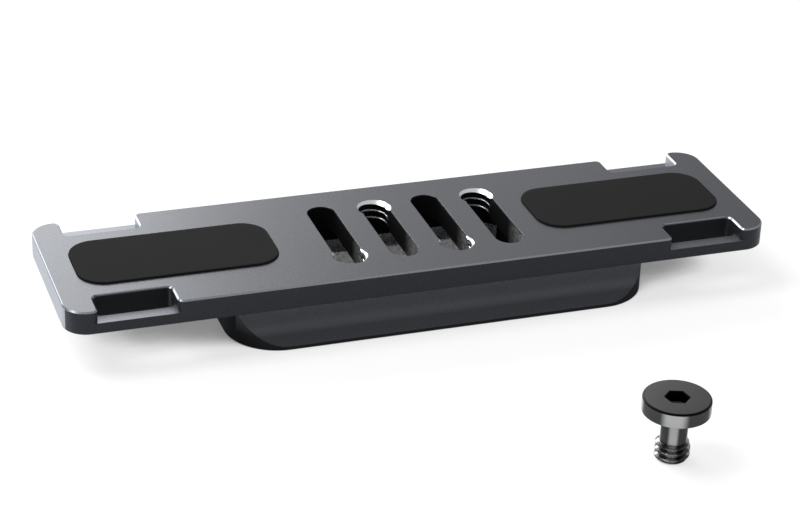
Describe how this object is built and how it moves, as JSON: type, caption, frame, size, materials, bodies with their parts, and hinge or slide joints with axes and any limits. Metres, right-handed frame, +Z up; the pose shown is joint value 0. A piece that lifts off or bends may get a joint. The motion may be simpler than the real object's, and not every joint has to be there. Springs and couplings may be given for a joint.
{
  "type": "camera plate",
  "caption": "Long camera plate with rubber pads, cross slots for its camera screw, strap gaps in its corners and a dovetail rail underneath.",
  "frame": {"origin": "under the middle of the plate's length and width, on the surface that the rail stands on", "axes": "+X along the plate, +Y across it, +Z up out of the camera face"},
  "size_m": [0.1432, 0.0988, 0.0141],
  "materials": {
    "anodised_aluminium": "blasted and anodised dark grey, satin",
    "rubber_pad": "matt black moulded rubber",
    "blackened_steel": "turned steel, dark matt top and bright turned sides"
  },
  "bodies": {
    "root": {"plate_body": "anodised_aluminium", "left_pad": "rubber_pad", "right_pad": "rubber_pad", "camera_screw": "blackened_steel"}
  },
  "joints": []
}
